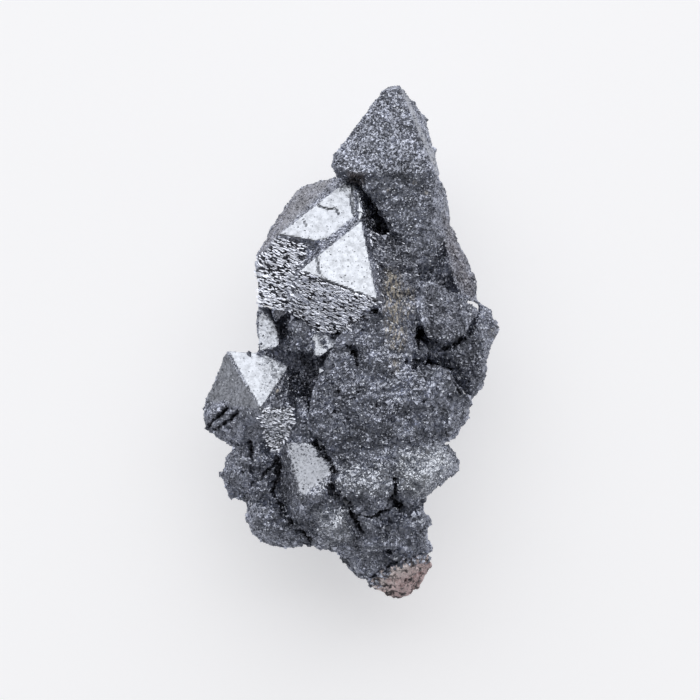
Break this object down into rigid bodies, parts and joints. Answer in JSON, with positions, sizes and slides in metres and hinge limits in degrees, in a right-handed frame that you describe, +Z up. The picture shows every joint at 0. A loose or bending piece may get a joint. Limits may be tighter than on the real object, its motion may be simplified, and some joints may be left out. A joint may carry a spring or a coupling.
{
  "type": "hematite pseudomorph",
  "caption": "Loose cabinet mineral specimen: an intergrown cluster of grey metallic octahedral crystals lying on its broken back, with pale host rock left at its lower tip.",
  "frame": {"origin": "on the plane the specimen lies on, below the middle of its bounding box", "axes": "+Z up, out of the crystal front that faces the viewer; +Y along the length towards the summit crystal; +X to the right of the front"},
  "size_m": [0.0386, 0.0668, 0.025],
  "materials": {
    "hematite": "steel-grey metallic, granular and sparkling, with a few smooth pale crystal faces",
    "host_rock": "matt pinkish cream, pitted"
  },
  "bodies": {
    "root": {"crystal_cluster": "hematite", "matrix_remnant": "host_rock"}
  },
  "joints": []
}
